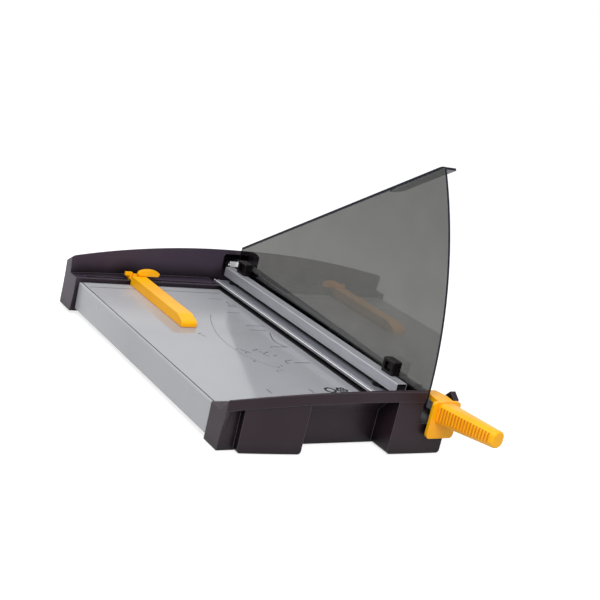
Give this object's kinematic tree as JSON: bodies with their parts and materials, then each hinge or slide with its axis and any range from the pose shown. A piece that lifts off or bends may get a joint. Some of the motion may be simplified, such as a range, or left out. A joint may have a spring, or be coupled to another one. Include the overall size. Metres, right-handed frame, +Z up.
{
  "type": "guillotine paper cutter",
  "caption": "Guillotine paper cutter: flat metal bed, swinging blade arm with ribbed handle, sprung clamp bar with clear guard, and sliding paper guide.",
  "frame": {"origin": "on the table, midway along the width and the length of the whole cutter", "axes": "+X from the bed towards the blade, +Y from the handle towards the pivot, +Z up"},
  "size_m": [0.312, 0.624, 0.3347],
  "materials": {
    "bed_enamel": "satin",
    "cap_moulding": "fine grain",
    "yellow_moulding": "smooth",
    "smoked_acrylic": "clear grey",
    "grip_film": "fine ribs",
    "clamp_aluminium": "satin anodised",
    "arm_casting": "fine cast",
    "blade_steel": "ground",
    "zinc_steel": "zinc plated",
    "spring_steel": "drawn",
    "bush_bronze": "turned",
    "pad_rubber": "moulded"
  },
  "bodies": {
    "base": {"bed_plate": "bed_enamel", "bed_stiffeners": "zinc_steel", "front_end_cap": "cap_moulding", "rear_end_cap": "cap_moulding", "foot_pads": "pad_rubber", "end_cap_screws": "zinc_steel", "grip_strip": "grip_film", "lower_blade": "blade_steel", "lower_blade_screws": "zinc_steel", "pivot_bracket": "zinc_steel", "pivot_bracket_screws": "zinc_steel", "pivot_bolt": "zinc_steel", "pivot_nut": "zinc_steel", "pivot_washers": "zinc_steel", "spring_cups": "zinc_steel"},
    "clamp": {"clamp_plate": "clamp_aluminium", "clamp_channel": "clamp_aluminium", "clamp_bushes": "cap_moulding", "clamp_posts": "zinc_steel", "post_clips": "spring_steel", "clamp_springs": "spring_steel", "guard_panel": "smoked_acrylic", "guard_block_front": "cap_moulding", "guard_block_rear": "cap_moulding", "guard_screws": "zinc_steel", "guard_nuts": "zinc_steel"},
    "blade_arm": {"arm_bar": "arm_casting", "pivot_bush": "bush_bronze", "upper_blade": "blade_steel", "upper_blade_screws": "zinc_steel", "handle": "yellow_moulding", "handle_screws": "zinc_steel"},
    "guide": {"guide_arm": "yellow_moulding", "guide_pin": "zinc_steel"},
    "guide_thumb": {"guide_lever": "yellow_moulding"}
  },
  "joints": [
    {"name": "blade_arm_swing", "type": "hinge", "parent": "base", "child": "blade_arm", "pos_m": [0.1325, 0.295, 0.072], "axis": [-1, 0, 0], "range_deg": [0, 30]},
    {"name": "clamp_press", "type": "slide", "parent": "base", "child": "clamp", "axis": [0, 0, 1], "range_m": [-0.005, 0], "stiffness_N_per_m": 1200, "springref_m": 0.02, "deforming": ["clamp_springs"]},
    {"name": "guide_slide", "type": "slide", "parent": "base", "child": "guide", "axis": [1, 0, 0], "range_m": [-0.065, 0.09]},
    {"name": "guide_thumb_press", "type": "hinge", "parent": "guide", "child": "guide_thumb", "pos_m": [-0.06105, 0.2575, 0.0586], "axis": [-1, 0, 0], "range_deg": [0, 12], "stiffness_Nm_per_rad": 0.3, "springref_deg": -11.46}
  ]
}
